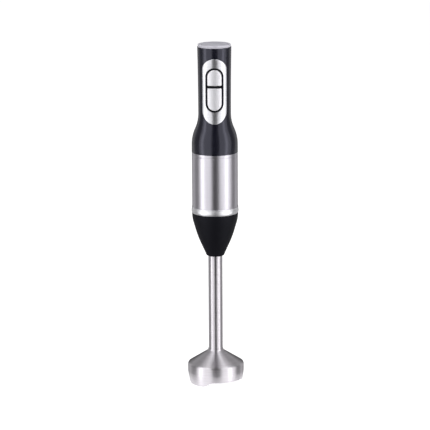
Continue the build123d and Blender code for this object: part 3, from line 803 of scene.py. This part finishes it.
def make_sleeve():
    """Steel sleeve with soft ends and a fine rolled line below its top."""
    outer, low, high = reach_of("motor_sleeve"), low_of("motor_sleeve"), top_of("motor_sleeve")
    inner, line, depth = outer - 0.8, high - 3.6, 0.35
    half_line, half_bed = 0.5, 0.15  # of the line, at the surface and at its bottom
    corners = [
        (inner, low),
        (outer, low, 0.25),
        (outer, line - half_line, 0.12),
        (outer - depth, line - half_bed, 0.1),
        (outer - depth, line + half_bed, 0.1),
        (outer, line + half_line, 0.12),
        (outer, high, 0.3),
        (inner, high),
    ]
    lathe("steel_sleeve", rounded(corners), "motor_sleeve", turns=224)


def make_trim():
    """Bright ring: a full bulge below and a narrow lip above a fine groove."""
    outer, low, high = reach_of("trim_ring"), low_of("trim_ring"), top_of("trim_ring")
    inner, edge, groove = 25.45, outer - 0.7, high - 1.7
    corners = [
        (inner, low),
        (edge, low, 0.12),
        (outer, low + 1.9, 2.4),
        (outer, groove - 1.5, 1.6),
        (edge + 0.1, groove - 0.1, 0.08),
        (edge + 0.1, groove + 0.15, 0.08),
        (outer - 0.3, groove + 0.35, 0.2),
        (outer - 0.3, high - 0.05, 0.3),
        (inner, high - 0.05),
    ]
    lathe("trim", rounded(corners, steps=9), "trim_ring", turns=224)


def make_tube():
    """Polished tube with softened ends."""
    outer, low, high = reach_of("leg_tube"), low_of("leg_tube"), top_of("leg_tube")
    inner = outer - 0.8
    corners = [(inner, low, 0.1), (outer, low, 0.2), (outer, high, 0.2), (inner, high, 0.1)]
    lathe("tube", rounded(corners), "leg_tube", turns=128)


# ---- bell guard ---------------------------------------------------------------------------

BELL_RADIUS = 32.5
BELL_WALL = 1.0
BELL_RIM = 30.4
BELL_GAP = 0.05  # between the tube and the guard's bore
BELL_NECK_WALL = 0.6
BELL_NECK_DROP = 1.8
BELL_STEP = 0.9  # largest distance between rows of points
SKIRT_TOP = 23.4  # where the lines of the cone and the upright wall meet
SKIRT_WAIST = 13.2
WAVE_TOP = 11.0  # the wall above this height keeps its shape all round
ARCH_DIRECTION = radians(-54.0)


def bell_outside():
    """Outline of the guard's outside from the tube down to the rim."""
    bore, neck_top = reach_of("leg_tube") + BELL_GAP, top_of("bell_guard")
    neck = bore + BELL_NECK_WALL
    corners = [
        (bore, neck_top),
        (neck, neck_top, 0.3),
        (neck, neck_top - BELL_NECK_DROP, 1.6),
        (BELL_RADIUS, SKIRT_TOP, 3.0),
        (BELL_RADIUS, SKIRT_WAIST, 14.0),
        (BELL_RIM, 0.0),
    ]
    return rounded(corners, steps=14)


def bell_inside():
    """Outline of the guard's inside from the rim up to the tube."""
    bore, cone_top = reach_of("leg_tube") + BELL_GAP, top_of("bell_guard") - BELL_NECK_DROP
    slope = (cone_top - SKIRT_TOP) / (BELL_RADIUS - bore - BELL_NECK_WALL)
    side = BELL_RADIUS - BELL_WALL
    top = SKIRT_TOP + slope * BELL_WALL - BELL_WALL * hypot(1, slope)
    corners = [
        (BELL_RIM - BELL_WALL, 0.0),
        (side, SKIRT_WAIST, 13.0),
        (side, top, 2.0),
        (bore, top + slope * (side - bore)),
    ]
    return rounded(corners, steps=14)


def divided(points, step):
    """The points with more between them, no further apart than a step."""
    dense = []
    for first, second in zip(points, points[1:]):
        pieces = max(1, int((second - first).length / step))
        dense += [first.lerp(second, n / pieces) for n in range(pieces)]
    return dense + [points[-1]]


def arch_height(across):
    """Height of the rim at a distance from the line through both arches."""
    foot, top, rise, bend = 27.0, 21.6, 5.5, 5.0
    lean = atan2(rise, foot - top)
    reach = bend * sin(lean / 2) / cos(lean / 2)
    across = abs(across)
    if across <= top - reach:
        return rise
    if across < top + reach * cos(lean):
        return rise - bend + sqrt(bend**2 - (across - top + reach) ** 2)
    if across <= foot - reach * cos(lean):
        return rise * (foot - across) / (foot - top)
    if across < foot + reach:
        return bend - sqrt(bend**2 - (foot + reach - across) ** 2)
    return 0.0


def make_bell():
    """Pressed guard: cone, soft shoulder, skirt, and a waved rim with a rounded hem."""
    hem_steps, shoulder_drop = 8, 4
    outside, inside = bell_outside(), bell_inside()
    outer_foot, inner_foot = outside.pop(), inside.pop(0)
    hem = (outer_foot - inner_foot).length / 2
    middle = (outer_foot + inner_foot) / 2 + Vector((0, hem))
    outline = divided(outside + [outer_foot + Vector((0, hem))], BELL_STEP)
    for n in range(1, hem_steps):
        turn = pi * n / hem_steps
        outline.append(middle + Vector((hem * cos(turn), -hem * sin(turn))))
    outline += divided([inner_foot + Vector((0, hem))] + inside, BELL_STEP)
    wall = [p for p in reversed(outside) if p.y < SKIRT_TOP - shoulder_drop]

    def wall_radius(height):
        """Outside radius of the upright wall at a height."""
        low = outer_foot
        for high in wall:
            if height <= high.y:
                return low.x + (high.x - low.x) * (height - low.y) / (high.y - low.y)
            low = high
        return low.x

    def wave(angle, radius, height):
        """Lift the foot of the wall into the arches, and keep it on the wall's curve."""
        if height >= WAVE_TOP or radius < BELL_RIM - 2 * BELL_WALL:
            return radius, height
        lift = arch_height((BELL_RIM - hem) * sin(angle - ARCH_DIRECTION))
        raised = lift + height * (WAVE_TOP - lift) / WAVE_TOP
        return radius + wall_radius(raised) - wall_radius(height), raised

    lathe("guard", outline, "bell_guard", wave=wave, turns=256)


# ---- scene --------------------------------------------------------------------------------

bpy.context.scene.view_settings.view_transform = "Standard"
make_camera()
make_world()
make_lights()
make_floor()
finishes = make_materials()
dress_cad()
make_spring("lower_spring", "speed_spring", "speed_button")
make_spring("upper_spring", "turbo_spring", "turbo_button")
make_cap()
make_bezel()
lower_end, lower_split = low_of("speed_button") + FLANGE_GROW, top_of("speed_button")
upper_end, upper_split = top_of("turbo_button") - FLANGE_GROW, low_of("turbo_button")
make_button("speed_button", "lower_key", lower_end, lower_split)
make_button("turbo_button", "upper_key", upper_end, upper_split)
make_sleeve()
make_trim()
make_tube()
make_bell()
for name in ("handle_front_shell", "handle_rear_shell", "leg_collar", "button_frame"):
    soften(name, SHELL_EDGE)
for name in ("blade", "blade_nut", "cord_gland", "seal_cap"):
    soften(name, SMALL_EDGE)
